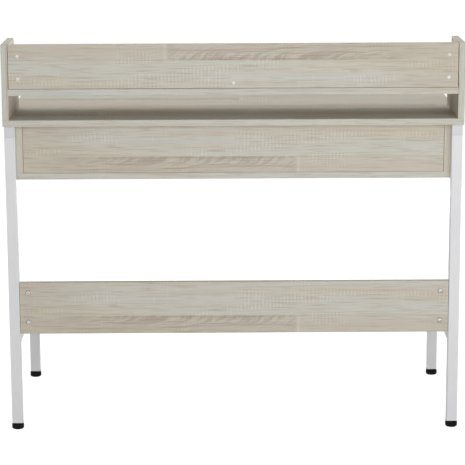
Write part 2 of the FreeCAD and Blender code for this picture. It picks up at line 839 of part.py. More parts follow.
def make_rail_caps():
    """Plugs in the open rail ends: a flange as large as the tube and a stem inside it."""
    stem_side = s.tube - 2 * s.tube_wall - 2 * s.hole_gap
    cap = padded("rail_cap", "XY_Plane", square(s.tube), s.cap_flange)
    round_edges(cap, s.tube_corner, runs_along_z)
    add_pad(cap, "XY_Plane", square(stem_side), s.cap_flange + s.cap_plug)
    top_middle = rail_under + s.tube / 2
    one_side = [
        copy_of(cap, (frame_middle, frame_front, top_middle), "+y"),
        copy_of(cap, (frame_middle, frame_rear, top_middle), "-y"),
        copy_of(cap, (frame_middle, frame_front, s.side_rail_rise + s.tube / 2), "+y"),
    ]
    node(group("rail_caps", both_sides("rail_cap_side", one_side)), "rail_caps")


def make_panel_tabs():
    """Plates welded inside the rear legs, which the lower panel is bolted to."""
    blank = block("panel_tab_blank", (frame_inner - s.tab_width, s.tab_width),
                  (panel_front - s.tab_thickness, s.tab_thickness),
                  (s.panel_rise + s.tab_margin, s.panel_height - 2 * s.tab_margin))
    through = s.tab_thickness + s.overrun
    bores = [bore(s.bolt_radius + s.hole_gap, through, (panel_bolt_x, panel_front, z), "-y")
             for z in panel_bolt_heights]
    right = node(cut("panel_tab_right", blank, bores), "panel_tab_right")
    node(other_side("panel_tab_left", right), "panel_tab_left")


def make_lower_panel():
    blank = block("lower_panel_blank", (-panel_end, 2 * panel_end), (panel_front, s.board),
                  (s.panel_rise, s.panel_height))
    through = s.board + s.overrun
    one_end = [bore(s.bolt_radius + s.hole_gap, through, (panel_bolt_x, panel_front, z), "+y")
               for z in panel_bolt_heights]
    node(cut("lower_panel", blank, both_sides("lower_panel_bores", one_end)), "lower_panel")


def make_panel_fasteners():
    bolt = socket_bolt("panel_bolt", s.board + s.tab_thickness + s.nut_height + s.bolt_tip)
    one_end = [copy_of(bolt, (panel_bolt_x, panel_rear, z), "+y") for z in panel_bolt_heights]
    node(group("panel_bolts", both_sides("panel_bolt_side", one_end)), "panel_bolts")
    blank = doc.addObject("Part::Prism", "panel_nut_blank")
    blank.Polygon = 6
    bind(blank, "Circumradius", s.nut_radius)
    bind(blank, "Height", s.nut_height)
    nut = cut("panel_nut", blank, [bore(s.bolt_radius + s.thread_gap, s.nut_height + s.overrun,
                                        (ZERO, ZERO, ZERO), "+z")])
    nut_rear = panel_front - s.tab_thickness
    one_end = [copy_of(nut, (panel_bolt_x, nut_rear, z), "-y") for z in panel_bolt_heights]
    node(group("panel_nuts", both_sides("panel_nut_side", one_end)), "panel_nuts")


def make_rail_fasteners():
    """Bolts up through the top rails, and the threaded sleeves in the desktop that take them."""
    bolt = socket_bolt("rail_bolt", s.tube + s.rail_bolt_reach)
    one_side = [copy_of(bolt, (frame_middle, y, rail_under), "-z") for y in rail_bolt_places]
    node(group("rail_bolts", both_sides("rail_bolt_side", one_side)), "rail_bolts")
    inner = s.bolt_radius + s.thread_gap
    sleeve = turned("sleeve", [
        (inner, ZERO),
        (s.sleeve_radius, ZERO),
        (s.sleeve_radius, s.sleeve_length),
        (inner, s.sleeve_length),
    ])
    one_side = [copy_of(sleeve, (frame_middle, y, top_under)) for y in rail_bolt_places]
    node(group("desktop_sleeves", both_sides("desktop_sleeve_side", one_side)), "desktop_sleeves")


# Feet

def make_leg_inserts():
    stem_side = s.tube - 2 * s.tube_wall - 2 * s.hole_gap
    blank = padded("leg_insert_blank", "XY_Plane", square(s.tube), s.insert_flange)
    round_edges(blank, s.tube_corner, runs_along_z)
    add_pad(blank, "XY_Plane", square(stem_side), s.insert_flange + s.insert_plug)
    through = s.insert_flange + s.insert_plug + s.overrun
    insert = cut("leg_insert", blank, [bore(s.stud_radius + s.thread_gap, through, (ZERO, ZERO, ZERO), "+z")])
    bottom = s.foot_height - s.insert_flange
    one_side = [copy_of(insert, (frame_middle, y, bottom)) for y in foot_places().values()]
    node(group("leg_inserts", both_sides("leg_insert_side", one_side)), "leg_inserts")


def foot_places():
    return {"rear": frame_rear - s.tube / 2, "front": frame_front + s.tube / 2}


def make_feet():
    pad_top = s.foot_height - s.insert_flange
    for end, y in foot_places().items():
        right = turned(f"foot_{end}_right", [
            (ZERO, ZERO),
            (s.foot_sole_radius, ZERO),
            (s.foot_radius, s.foot_edge_rise),
            (s.foot_radius, pad_top - s.foot_shoulder),
            (s.foot_radius - s.foot_shoulder, pad_top),
            (s.stud_radius, pad_top),
            (s.stud_radius, pad_top + s.stud_length),
            (ZERO, pad_top + s.stud_length),
        ])
        place(right, (frame_middle, y, ZERO))
        node(right, f"foot_{end}_right")
        node(other_side(f"foot_{end}_left", right), f"foot_{end}_left")


# Runner strips screwed to the box walls; the drawers' grooves hang on them

def make_runners():
    height = (runner_middle - s.runner_height / 2, s.runner_height)
    length = (runner_front, runner_length)
    strips = {
        "+x": block("runner_strip_outer", (box_inner - runner_depth, runner_depth), length, height),
        "-x": block("runner_strip_inner", (s.board / 2, runner_depth), length, height),
    }
    screw = sunk_screw("runner_screw", s.wood_screw_radius, runner_depth + s.runner_screw_bite,
                       s.wood_screw_head_radius, s.wood_screw_head)
    faces = {"+x": box_inner - runner_depth, "-x": s.board / 2 + runner_depth}
    heads = {"+x": "-x", "-x": "+x"}
    drilled = []
    screws = []
    for along, strip in strips.items():
        holes = []
        for y in runner_screw_places:
            at = (faces[along], y, runner_middle)
            holes += sunk_hole(s.wood_screw_radius, runner_depth + s.overrun, s.wood_screw_head_radius,
                               s.wood_screw_head, at, along)
            screws.append(copy_of(screw, at, heads[along]))
        drilled.append(cut(f"{strip.Name}_drilled", strip, [fused(f"{strip.Name}_holes", holes)]))
    node(group("runner_strips", both_sides("runner_strip_side", drilled)), "runner_strips")
    node(group("runner_screws", both_sides("runner_screw_side", screws)), "runner_screws")


# Drawers: the right one is built, and the left one mirrors it

front_back = box_front + s.board
drawer_rear = box_back_front - s.drawer_rear_gap
drawer_length = drawer_rear - front_back
drawer_under = box_floor + s.drawer_lift
drawer_top = drawer_under + s.drawer_height
drawer_outer = box_inner - s.drawer_side_gap
drawer_inner = s.board / 2 + s.drawer_side_gap
drawer_middle = (box_inner + s.board / 2) / 2
floor_under = drawer_under + s.floor_rise
floor_top = floor_under + s.floor_thickness
drawer_screw_heights = [floor_top + s.drawer_screw_edge, drawer_top - s.drawer_screw_edge]
back_middle = drawer_rear - s.drawer_wall / 2
handle_middle = (box_floor + top_under) / 2
handle_screw_places = [
    drawer_middle - s.handle_length / 2 + s.handle_post / 2,
    drawer_middle + s.handle_length / 2 - s.handle_post / 2,
]
wall_middles = [drawer_outer - s.drawer_wall / 2, drawer_inner + s.drawer_wall / 2]


def both_drawers(thing, piece):
    node(thing, f"drawer_{piece}_right")
    node(other_side(f"drawer_{piece}_left", thing), f"drawer_{piece}_left")


def make_drawer_fronts():
    gap = s.drawer_front_gap
    width = box_inner - s.board / 2 - 2 * gap
    blank = block("drawer_front_blank", (s.board / 2 + gap, width), (box_front, s.board),
                  (box_floor + gap, top_under - box_floor - 2 * gap))
    groove_width = drawer_outer - drawer_inner - 2 * s.drawer_wall + 2 * s.floor_groove
    cutters = [block("front_groove", (drawer_inner + s.drawer_wall - s.floor_groove, groove_width),
                     (front_back - s.floor_groove, s.floor_groove + s.overrun),
                     (floor_under - s.hole_gap, s.floor_thickness + 2 * s.hole_gap))]
    cutters += [bore(s.back_screw_radius + s.hole_gap, s.board + s.overrun,
                     (x, front_back, handle_middle), "-y") for x in handle_screw_places]
    cutters += [bore(s.peg_radius + s.hole_gap, s.peg_shallow + s.hole_end_gap, (x, front_back, z), "-y")
                for x in wall_middles for z in drawer_screw_heights]
    both_drawers(cut("drawer_front_right", blank, cutters), "front")


def make_drawer_walls():
    slack = s.runner_slack
    groove_z = (runner_middle - s.runner_height / 2 - slack, s.runner_height + 2 * slack)
    groove_depth = s.runner_bite + slack
    long_way = (front_back - s.overrun, drawer_length + 2 * s.overrun)
    floor_z = (floor_under - s.hole_gap, s.floor_thickness + 2 * s.hole_gap)
    walls = {
        "outer": {
            "x": drawer_outer - s.drawer_wall,
            "runner_x": drawer_outer - groove_depth,
            "floor_x": drawer_outer - s.drawer_wall - s.overrun,
            "face": drawer_outer,
            "along": "-x",
        },
        "inner": {
            "x": drawer_inner,
            "runner_x": drawer_inner - s.overrun,
            "floor_x": drawer_inner + s.drawer_wall - s.floor_groove,
            "face": drawer_inner,
            "along": "+x",
        },
    }
    for wall, at in walls.items():
        blank = block(f"drawer_{wall}_blank", (at["x"], s.drawer_wall), (front_back, drawer_length),
                      (drawer_under, s.drawer_height))
        cutters = [
            block("runner_groove", (at["runner_x"], groove_depth + s.overrun), long_way, groove_z),
            block("floor_groove", (at["floor_x"], s.floor_groove + s.overrun), long_way, floor_z),
        ]
        for z in drawer_screw_heights:
            holes = sunk_hole(s.wood_screw_radius, s.drawer_wall + s.overrun, s.wood_screw_head_radius,
                              s.wood_screw_head, (at["face"], back_middle, z), at["along"])
            cutters.append(fused("wall_screw_holes", holes))
            middle = at["x"] + s.drawer_wall / 2
            cutters.append(bore(s.peg_radius + s.hole_gap, s.peg_length - s.peg_shallow + s.hole_end_gap,
                                (middle, front_back, z), "+y"))
        both_drawers(cut(f"drawer_{wall}_side", blank, cutters), f"{wall}_side")


def make_drawer_backs():
    left = drawer_inner + s.drawer_wall
    width = drawer_outer - drawer_inner - 2 * s.drawer_wall
    blank = block("drawer_back_blank", (left, width), (drawer_rear - s.drawer_wall, s.drawer_wall),
                  (floor_top, drawer_top - floor_top))
    depth = s.drawer_screw_length - s.drawer_wall + s.hole_end_gap
    cutters = []
    for z in drawer_screw_heights:
        cutters.append(bore(wood_screw_hole_radius, depth, (left, back_middle, z), "+x"))
        cutters.append(bore(wood_screw_hole_radius, depth, (left + width, back_middle, z), "-x"))
    both_drawers(cut("drawer_back_right", blank, cutters), "back")


def make_drawer_floors():
    bite = s.floor_groove - s.hole_gap
    left = drawer_inner + s.drawer_wall - bite
    width = drawer_outer - drawer_inner - 2 * s.drawer_wall + 2 * bite
    start = front_back - bite
    both_drawers(block("drawer_floor_right", (left, width), (start, drawer_rear - start),
                       (floor_under, s.floor_thickness)), "floor")


def make_drawer_fixings():
    screw = sunk_screw("drawer_screw", s.wood_screw_radius, s.drawer_screw_length,
                       s.wood_screw_head_radius, s.wood_screw_head)
    screws = []
    for z in drawer_screw_heights:
        screws.append(copy_of(screw, (drawer_outer, back_middle, z), "+x"))
        screws.append(copy_of(screw, (drawer_inner, back_middle, z), "-x"))
    both_drawers(group("drawer_screws_right", screws), "screws")
    peg = make_dowel("drawer_peg", s.peg_radius, s.peg_length)
    pegs = [copy_of(peg, (x, front_back - s.peg_shallow, z), "+y")
            for x in wall_middles for z in drawer_screw_heights]
    both_drawers(group("drawer_pegs_right", pegs), "pegs")


def make_handles():
    """A bow handle: two posts on the drawer front and a bar across them."""
    half = s.handle_length / 2
    inner = half - s.handle_post
    bar_back = -(s.handle_reach - s.handle_bar)
    bow = padded("handle_bow", "XY_Plane", [
        (-half, ZERO),
        (-half, -s.handle_reach),
        (half, -s.handle_reach),
        (half, ZERO),
        (inner, ZERO),
        (inner, bar_back),
        (-inner, bar_back),
        (-inner, ZERO),
    ], s.handle_height)
    reach = s.handle_reach.value
    round_edges(bow, s.handle_round,
                lambda edge: runs_along_z(edge) and abs(edge.Vertexes[0].Point.y + reach) < SAME_POINT)
    place(bow, (drawer_middle, box_front, handle_middle - s.handle_height / 2))
    bores = [bore(s.back_screw_radius + s.thread_gap, s.handle_screw_bite + s.hole_end_gap,
                  (x, box_front, handle_middle), "-y") for x in handle_screw_places]
    both_drawers(cut("drawer_handle_right", bow, bores), "handle")
    screw = domed_screw("handle_screw", s.back_screw_radius, s.board + s.handle_screw_bite,
                        s.back_screw_head_radius, s.back_screw_head_height, s.back_screw_head_round)
    screws = [copy_of(screw, (x, front_back, handle_middle), "+y") for x in handle_screw_places]
    both_drawers(group("drawer_handle_screws_right", screws), "handle_screws")


def check_document():
    """Stop if any object failed to build or any sub-part isn't a sound solid."""
    doc.recompute()
    for thing in doc.Objects:
        if "Invalid" in thing.State or "Error" in thing.State:
            raise RuntimeError(f"{thing.Name} failed: {thing.State}")
    for thing in nodes:
        if thing.Shape.isNull() or not thing.Shape.isValid():
            raise RuntimeError(f"{thing.Label} has no sound shape")


def write_parts():
    os.makedirs("parts", exist_ok=True)
    for thing in nodes:
        thing.Shape.exportStep(f"parts/{thing.Label}.step")
        volume = thing.Shape.Volume / CUBIC_CENTIMETRE
        print(f"{thing.Label}: {len(thing.Shape.Solids)} solids, {volume:.1f} cm3")
    print(f"{len(nodes)} sub-parts")


make_desktop()
make_hutch_sides()
make_hutch_shelf()
make_hutch_back()
make_hutch_brackets()
make_hutch_screws()
make_box_sides()
make_box_divider()
make_box_bottom()
make_box_back()
make_joint_screws()
make_board_joints()
make_legs()
make_rails()
make_rail_caps()
make_panel_tabs()
make_lower_panel()
make_panel_fasteners()
make_rail_fasteners()
make_leg_inserts()
make_feet()
make_runners()
make_drawer_fronts()
make_drawer_walls()
make_drawer_backs()
make_drawer_floors()
make_drawer_fixings()
make_handles()
check_document()
write_parts()
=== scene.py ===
import json
import math

import bmesh
import bpy
from mathutils import Matrix, Vector

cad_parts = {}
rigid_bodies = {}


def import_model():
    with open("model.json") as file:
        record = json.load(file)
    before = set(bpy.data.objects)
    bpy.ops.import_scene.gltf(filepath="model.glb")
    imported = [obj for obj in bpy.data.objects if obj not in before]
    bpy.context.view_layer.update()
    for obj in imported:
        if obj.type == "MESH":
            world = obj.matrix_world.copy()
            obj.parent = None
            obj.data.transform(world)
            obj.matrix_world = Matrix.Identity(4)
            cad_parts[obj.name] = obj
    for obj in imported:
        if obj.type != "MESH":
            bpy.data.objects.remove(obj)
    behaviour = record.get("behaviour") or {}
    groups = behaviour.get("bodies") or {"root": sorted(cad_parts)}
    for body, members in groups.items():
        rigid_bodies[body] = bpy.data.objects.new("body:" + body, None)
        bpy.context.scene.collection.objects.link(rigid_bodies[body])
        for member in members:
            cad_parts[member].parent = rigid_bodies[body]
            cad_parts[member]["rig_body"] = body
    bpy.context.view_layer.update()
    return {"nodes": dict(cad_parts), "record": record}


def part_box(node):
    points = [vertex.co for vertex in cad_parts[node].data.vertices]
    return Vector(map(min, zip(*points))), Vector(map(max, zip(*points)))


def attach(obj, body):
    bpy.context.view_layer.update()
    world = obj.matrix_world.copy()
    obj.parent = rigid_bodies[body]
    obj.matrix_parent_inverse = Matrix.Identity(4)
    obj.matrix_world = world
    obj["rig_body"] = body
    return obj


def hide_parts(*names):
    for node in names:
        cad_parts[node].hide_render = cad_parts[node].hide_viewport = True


# Looks of the student desk: printed oak boards, powder-coated tube, moulded and plated fittings.
# Everything is in metres, in the desk's own frame; the rear of the desk faces +Y.

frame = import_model()
nodes = frame["nodes"]

MM = 0.001
SIDES = ("right", "left")
GRAIN_MAP = "grain"
RECORD_SLOTS = {row["node"]: row["material_slot"] for row in frame["record"]["subparts"]}


class Value:
    """A shader socket that takes part in Python sums: each operation adds one Math node."""

    def __init__(self, finish, socket):
        self.finish = finish
        self.socket = socket

    def math(self, operation, *others):
        return self.finish.node("Math", {"operation": operation}, dict(enumerate((self, *others))))

    def __add__(self, other):
        return self.math("ADD", other)

    def __sub__(self, other):
        return self.math("SUBTRACT", other)

    def __rsub__(self, other):
        return self.finish.node("Math", {"operation": "SUBTRACT"}, {0: other, 1: self})

    def __mul__(self, other):
        return self.math("MULTIPLY", other)

    def __truediv__(self, other):
        return self.math("DIVIDE", other)

    def __pow__(self, other):
        return self.math("POWER", other)

    __radd__ = __add__
    __rmul__ = __mul__

    def between(self, low, high):
        """0 at low, 1 at high, level past both, and a smooth rise from one to the other."""
        return self.finish.node("MapRange", {"interpolation_type": "SMOOTHSTEP"},
                                {"Value": self, "From Min": low, "From Max": high})

    def near(self, centre, far, close):
        """1 closer than close to the centre, 0 past far from it."""
        return (self - centre).math("ABSOLUTE").between(far, close)

    def swing(self, amount):
        """A noise as a change of so much in all, to both sides of nothing."""
        return (self - 0.5) * amount


class Finish:
    """One surface finish, or the studio's sky: its nodes all come from node()."""

    def __init__(self, name, shelf=bpy.data.materials):
        self.owner = shelf.new(name)
        self.owner.use_nodes = True
        self.tree = self.owner.node_tree
        self.tree.nodes.clear()

    def node(self, kind, settings=None, sockets=None, output=0):
        """Add a node: its settings first, then the values or links of its sockets."""
        made = self.tree.nodes.new(f"ShaderNode{kind}")
        for name, value in (settings or {}).items():
            setattr(made, name, value)
        for name, value in (sockets or {}).items():
            if isinstance(value, Value):
                self.tree.links.new(value.socket, made.inputs[name])
            else:
                made.inputs[name].default_value = value
        return None if output is None else Value(self, made.outputs[output])

    def part(self, vector, axis):
        """One coordinate of a vector."""
        return self.node("SeparateXYZ", {}, {"Vector": vector}, output=axis)

    def place(self):
        """The three coordinates of a point of the desk, in metres."""
        spot = self.node("TexCoord", {}, {}, output="Object")
        return [self.part(spot, axis) for axis in "XYZ"]

    def noise(self, x, y, z=0.0, detail=2.0, roughness=0.5):
        place = self.node("CombineXYZ", {}, {"X": x, "Y": y, "Z": z})
        return self.node("TexNoise", {}, {"Vector": place, "Scale": 1.0, "Detail": detail,
                                          "Roughness": roughness})

    def speckle(self, per_metre, detail=2.0):
        """Noise of one size all round, with so many cells per metre of the desk."""
        x, y, z = self.place()
        return self.noise(x * per_metre, y * per_metre, z * per_metre, detail)

    def blend(self, share, first, second):
        """A colour between two colours."""
        return self.node("Mix", {"data_type": "RGBA"}, {0: share, 6: first, 7: second}, output=2)

    def shade(self, tint, share):
        """A colour made lighter or darker by a factor."""
        return self.node("VectorMath", {"operation": "SCALE"}, {0: tint, "Scale": share})

    def bump(self, height, depth, strength):
        return self.node("Bump", {}, {"Height": height, "Distance": depth, "Strength": strength},
                         output="Normal")

    def seen(self):
        """1 for what the camera sees, straight, in a mirror or through glass; 0 for other light."""
        paths = ("Is Camera Ray", "Is Glossy Ray", "Is Transmission Ray")
        direct, mirrored, passed = [self.node("LightPath", {}, {}, output=path) for path in paths]
        return (direct + mirrored + passed).math("MINIMUM", 1.0)

    def surface(self, **sockets):
        return self.show(self.node("BsdfPrincipled", {}, sockets))

    def show(self, shader, output="OutputMaterial"):
        """End the nodes in one shader, and give the material or sky that they make."""
        self.node(output, {}, {"Surface": shader}, output=None)
        return self.owner


def colour(red, green, blue):
    """A colour written as it looks on screen, from 0 to 255, as a shader takes it."""
    def linear(level):
        share = level / 255
        return share / 12.92 if share <= 0.04045 else ((share + 0.055) / 1.055) ** 2.4
    return (linear(red), linear(green), linear(blue), 1.0)


# Oak print: each plank of the roll is a stave with flames and a plain one of twice its height

STAVE_HEIGHT = 44 * MM
STAVES_PER_PLANK = 3
PRINT_REPEAT = 1.3
EDGE_ROLL = 12.0
FACE_END = EDGE_ROLL - 3
EDGE_START = EDGE_ROLL - 2

FLAME_SHARE = 0.53
FLAME_SHIFT = 0.37
FLAME_SPACING = 11 * MM
FLAME_LEAN = 8.5
FLAME_SWAY = 1.8
STAVE_EDGE = 0.04
JOINT_EDGE = 0.004

SAW_SPACING = 8.4 * MM
SAW_BEND = 1.6
SAWN_PLACE = 0.01
SAWN_HEIGHT = 0.62
SAWN_BOOST = 0.16

# Cells of noise per metre, along the grain and across it
DRIFT_CELLS = (1.9, 8)
RIPPLE_CELLS = (14, 70)
BAND_CELLS = (1.1, 46)
COOL_CELLS = (1.3, 34)
OCHRE_CELLS = (1.7, 60)
STREAK_CELLS = (4.5, 190)
LINE_CELLS = (13, 430)
FIBRE_CELLS = (26, 1100)
PORE_CELLS = (70, 1700)
SWAY_CELLS = (11, 60)
SAW_GROUP_CELLS = (6.5, 27)
SAW_BEND_CELLS = (9, 12)
WORN_CELLS = (70, 55)
TALL_MARK_CELLS = (190, 17)

# How far the grain leaves a straight line
DRIFT_REACH = 8 * MM
RIPPLE_REACH = 1.2 * MM

PALE_WOOD = colour(206, 205, 195)
WARM_WOOD = colour(205, 197, 183)
COOL_WOOD = colour(204, 203, 197)
OCHRE_WOOD = colour(202, 191, 169)
STAVE_BROWN = colour(199, 190, 175)
FLAME_OCHRE = colour(200, 189, 169)
LATE_WOOD = colour(164, 153, 140)
FAR_END_BROWN = colour(194, 181, 158)
STREAK_BROWN = colour(170, 154, 134)
LINE_BROWN = colour(160, 145, 127)
PRINT_LEVEL = 1.08


class OakPrint(Finish):
    """Printed sawn-oak paper, by the place along its roll and across it."""

    def __init__(self):
        super().__init__("pale_oak_print")
        spot = self.node("UVMap", {"uv_map": GRAIN_MAP}, {})
        self.along = self.part(spot, "X")
        self.across = self.part(spot, "Y")
        self.face = 1 - self.across.between(FACE_END, EDGE_START)
        self.lay_staves()
        self.lay_grain()
        self.lay_flames()
        self.lay_saw_marks()

    def layer(self, cells, height, seed, detail=2.0):
        """Noise with so many cells per metre along the grain and across it."""
        return self.noise(self.along * cells[0], height * cells[1], seed, detail)

    def lay_staves(self):
        """Where a point lies in its stave and plank, with a seed that gives each stave other wood."""
        self.lane = self.across / STAVE_HEIGHT
        self.rise = self.lane.math("FRACT")
        self.depth = 1 - self.rise
        middle = (self.lane.math("FLOOR") + 0.5) / STAVES_PER_PLANK
        self.flamed = middle.math("FRACT").between(0.3, 0.2)
        self.plank = middle.math("FLOOR")
        self.seed = self.plank * 3.17 + self.flamed * 1.9

    def lay_grain(self):
        """Wide bands of tint, then streaks about 5 mm high, lines of 2 mm, and single fibres and pores."""
        drift = self.layer(DRIFT_CELLS, self.across, self.seed, 1) - 0.5
        ripple = self.layer(RIPPLE_CELLS, self.across, self.seed, 1) - 0.5
        wavy = self.across + drift * DRIFT_REACH + ripple * RIPPLE_REACH
        self.bands = self.layer(BAND_CELLS, wavy, self.seed + 3.7)
        self.cool = self.layer(COOL_CELLS, wavy, self.seed + 17, 1).between(0.5, 0.66)
        self.ochre = self.layer(OCHRE_CELLS, wavy, self.seed + 23, 1).between(0.54, 0.68)
        self.streaks = self.layer(STREAK_CELLS, wavy, self.seed + 8.8)
        self.lines = self.layer(LINE_CELLS, wavy, self.seed + 1.9)
        self.fibres = self.layer(FIBRE_CELLS, wavy, 4.4)
        self.pores = self.layer(PORE_CELLS, wavy, 4.1, 1).between(0.62, 0.72)

    def lay_flames(self):
        """Flame figure: from a butt joint on, dark blades lean over and slowly lie down."""
        self.turn = (self.along / PRINT_REPEAT + self.plank * FLAME_SHIFT).math("FRACT")
        self.reach = self.turn / FLAME_SHARE
        blades = PRINT_REPEAT * FLAME_SHARE / FLAME_SPACING
        sway = self.layer(SWAY_CELLS, self.across, self.seed + 5.3) * FLAME_SWAY
        blade = (self.reach - self.reach ** 2 / 2) * blades - self.depth ** 2 * FLAME_LEAN + sway
        rings = self.noise(blade, self.seed, self.depth * 1.3, detail=3, roughness=0.6)
        late_wood = rings.between(0.43, 0.6)
        self.far_end = self.reach.between(0.6, 0.95) * self.reach.between(1.35, 1.1) * self.face
        inside = self.rise.between(0.0, STAVE_EDGE) * self.depth.between(0.0, STAVE_EDGE)
        self.brown = self.flamed * inside * (self.face - self.far_end * 0.7)
        self.flame = self.brown * self.turn.between(0.0, JOINT_EDGE) * self.reach.between(1.0, 0.75)
        self.figure = self.flame * late_wood * (0.25 + self.rise.between(0.2, 0.95) * 0.75)
        self.joint = self.brown * self.turn.between(0.993, 0.996)

    def lay_saw_marks(self):
        """Short marks that a frame saw leaves across the grain, in loose groups, most by the joints."""
        beside_joint = (self.turn + 0.5).math("FRACT").near(0.5 + SAWN_PLACE, 0.13, 0.08)
        above_flame = (self.lane / STAVES_PER_PLANK).math("FRACT").near(SAWN_HEIGHT, 0.22, 0.12)
        loose = self.layer(SAW_GROUP_CELLS, self.across, 31.0, 1) + beside_joint * above_flame * SAWN_BOOST
        worn = self.layer(WORN_CELLS, self.across, 40.0, 1).between(0.34, 0.6)
        self.sawn = loose.between(0.56, 0.66) * worn * self.face
        pitch = self.along / SAW_SPACING + self.layer(SAW_BEND_CELLS, self.across, 2.0) * SAW_BEND
        comb = (pitch.math("FRACT") - 0.5).math("ABSOLUTE").between(0.45, 0.125)
        self.saw_marks = self.sawn * (1 - self.flame * 0.6) * comb
        self.tall_marks = self.layer(TALL_MARK_CELLS, self.across, 50.0, 0).between(0.74, 0.84) * self.face

    def tint(self):
        """The inks one over the other: bands of wood, then the flames, then the dark grain."""
        inks = [
            (self.bands.between(0.38, 0.62) * 0.85, WARM_WOOD),
            (self.cool * 0.6, COOL_WOOD),
            (self.ochre * 0.45, OCHRE_WOOD),
            (self.brown * 0.22 + self.flame * 0.1, STAVE_BROWN),
            (self.flame * self.reach * 0.5, FLAME_OCHRE),
            (self.figure * 0.64, LATE_WOOD),
            (self.far_end * 0.4, FAR_END_BROWN),
            (self.streaks.between(0.5, 0.68) * (0.24 + self.flame * 0.16), STREAK_BROWN),
            (self.lines.between(0.52, 0.66) * (0.42 + self.flame * 0.16), LINE_BROWN),
        ]
        tint = PALE_WOOD
        for share, ink in inks:
            tint = self.blend(share, tint, ink)
        return tint

    def level(self):
        """How light the print is: darker in the grain and the pores, lighter on the saw marks."""
        grain = self.streaks.swing(0.1) + self.lines.swing(0.2) + self.fibres.swing(0.1)
        marks = self.saw_marks * 0.14 + self.tall_marks * 0.09 + self.joint * 0.06
        return PRINT_LEVEL + grain - self.pores * 0.06 - self.sawn * 0.05 + marks

    def height(self):
        grain = self.lines * 0.25 + self.fibres * 0.35 - self.pores * 0.7
        return grain + self.saw_marks * 0.4 - self.figure * 0.25

    def material(self):
        return self.surface(**{
            "Base Color": self.shade(self.tint(), self.level()),
            "Roughness": 0.6 + self.fibres.swing(0.16) + self.pores * 0.12 - self.figure * 0.06,
            "Normal": self.bump(self.height(), depth=0.12 * MM, strength=0.7),
            "Specular IOR Level": 0.04,
        })


# Other finishes

MOST_OF_NOISE = (0.3, 0.7)


def powder_coat():
    """White powder coat: orange peel, slight mottling and a satin sheen."""
    coat = Finish("white_powder_coat")
    peel = coat.speckle(per_metre=760, detail=1)
    flow = coat.speckle(per_metre=190, detail=1)
    mottle = coat.speckle(per_metre=9)
    tint = coat.blend(mottle.between(*MOST_OF_NOISE), colour(231, 231, 233), colour(235, 235, 236))
    return coat.surface(**{
        "Base Color": coat.shade(tint, 1 + peel.swing(0.03)),
        "Roughness": 0.46 + mottle.swing(0.1) + peel.swing(0.08),
        "Normal": coat.bump(peel * 0.6 + flow, depth=0.05 * MM, strength=0.5),
        "Specular IOR Level": 0.25,
    })


def moulded_plastic(name, dark, light, rough, shine):
    """Injection-moulded plastic with a fine spark-eroded grain and faint flow marks."""
    plastic = Finish(name)
    x, y, z = plastic.place()
    grain = plastic.speckle(per_metre=1900)
    flow = plastic.noise(x * 60, y * 60, z * 25)
    scuffs = plastic.noise(x * 300, y * 420, z * 90).between(0.6, 0.75)
    return plastic.surface(**{
        "Base Color": plastic.blend(flow.between(*MOST_OF_NOISE) * 0.7 + scuffs * 0.3, dark, light),
        "Roughness": rough + flow.swing(0.12) + grain.swing(0.15),
        "Normal": plastic.bump(grain, depth=0.04 * MM, strength=0.6),
        "Specular IOR Level": shine,
    })


def screw_lacquer():
    """White lacquer baked on a screw head, a little glossier than the tube's coat."""
    lacquer = Finish("white_screw_lacquer")
    runs = lacquer.speckle(per_metre=420)
    return lacquer.surface(**{
        "Base Color": lacquer.blend(runs.between(0.35, 0.7), colour(232, 232, 230), colour(238, 238, 237)),
        "Roughness": 0.28 + runs.swing(0.16),
        "Normal": lacquer.bump(runs, depth=0.03 * MM, strength=0.5),
    })


def plated_zinc(name, dark, light, rough):
    """Bright zinc plate: a cloudy metal with fine turning scratches."""
    zinc = Finish(name)
    x, y, z = zinc.place()
    cloud = zinc.speckle(per_metre=140, detail=3)
    scratches = zinc.noise(x * 2600, y * 2600, z * 380)
    return zinc.surface(**{
        "Base Color": zinc.blend(cloud.between(0.32, 0.68), dark, light),
        "Metallic": 1.0,
        "Roughness": rough + cloud.swing(0.18) + scratches.swing(0.2),
        "Normal": zinc.bump(scratches, depth=0.02 * MM, strength=0.6),
    })


def beech():
    """Plain beech for the pins: pinkish brown with short flecks."""
    wood = Finish("plain_beech")
    fleck = wood.speckle(per_metre=900).between(0.56, 0.7)
    band = wood.speckle(per_metre=160)
    tint = wood.blend(band.between(*MOST_OF_NOISE), colour(206, 168, 126), colour(221, 186, 146))
    return wood.surface(**{
        "Base Color": wood.blend(fleck * 0.4, tint, colour(158, 116, 82)),
        "Roughness": 0.6 + band.swing(0.2),
        "Normal": wood.bump(fleck, depth=0.06 * MM, strength=0.5),
    })


def faced_hardboard():
    """Hardboard drawer floor: white faced on top, with a bare brown mesh-marked underside."""
    board = Finish("faced_hardboard")
    x, y = board.place()[:2]
    top = board.part(board.node("NewGeometry", {}, {}, output="Normal"), "Z").between(0.2, 0.6)
    peel = board.noise(x * 240, y * 240)
    fibre = board.speckle(per_metre=520, detail=3)
    mesh = ((x * 700).math("SINE") * (y * 700).math("SINE")) * 0.5 + 0.5
    white = board.blend(peel.between(*MOST_OF_NOISE), colour(228, 227, 223), colour(234, 233, 230))
    brown = board.blend(fibre.between(*MOST_OF_NOISE), colour(122, 90, 60), colour(150, 115, 80))
    return board.surface(**{
        "Base Color": board.blend(top, brown, white),
        "Roughness": 0.72 - top * 0.28 + fibre.swing(0.1),
        "Normal": board.bump(peel * top * 0.4 + mesh * (1 - top), depth=0.1 * MM, strength=0.5),
    })


